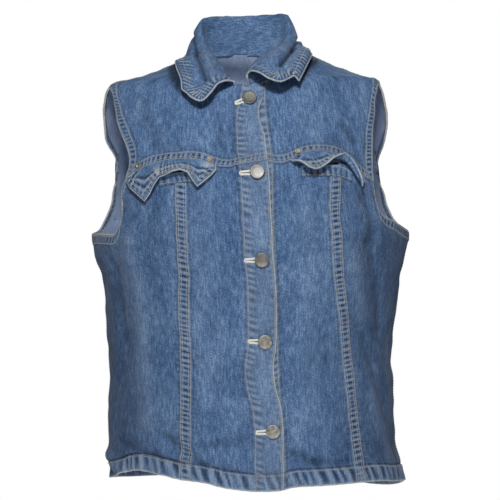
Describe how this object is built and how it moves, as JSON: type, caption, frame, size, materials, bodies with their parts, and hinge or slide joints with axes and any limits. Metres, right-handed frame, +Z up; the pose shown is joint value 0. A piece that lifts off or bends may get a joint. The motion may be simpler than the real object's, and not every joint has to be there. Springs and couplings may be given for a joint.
{
  "type": "denim vest",
  "caption": "Sleeveless washed denim vest with turned-down collar, buttoned front, yoke, curled pocket flaps and princess seams, hollow as worn.",
  "frame": {"origin": "between the two points where the shoulders meet the neck, at the height where a wearer's shoulders carry the vest", "axes": "-Y is the front of the vest, +Z is up towards the neck, and -X is the wearer's right"},
  "size_m": [0.3797, 0.2436, 0.5769],
  "materials": {
    "denim": "washed mid-blue cotton twill, turned edges worn pale, pale beige topstitching",
    "nickel": "satin nickel plate, lightly dished cap",
    "rivet_brass": "dull brass, worn"
  },
  "bodies": {
    "root": {"yoke_right": "denim", "yoke_left": "denim", "centre_front_right": "denim", "centre_front_left": "denim", "side_front_right": "denim", "side_front_left": "denim", "back": "denim", "collar": "denim", "flap_right": "denim", "flap_left": "denim", "pocket_mouth_right": "denim", "pocket_mouth_left": "denim", "button_1": "nickel", "button_2": "nickel", "button_3": "nickel", "button_4": "nickel", "button_5": "nickel", "rivet_1": "rivet_brass", "rivet_2": "rivet_brass", "rivet_3": "rivet_brass", "rivet_4": "rivet_brass"}
  },
  "joints": []
}
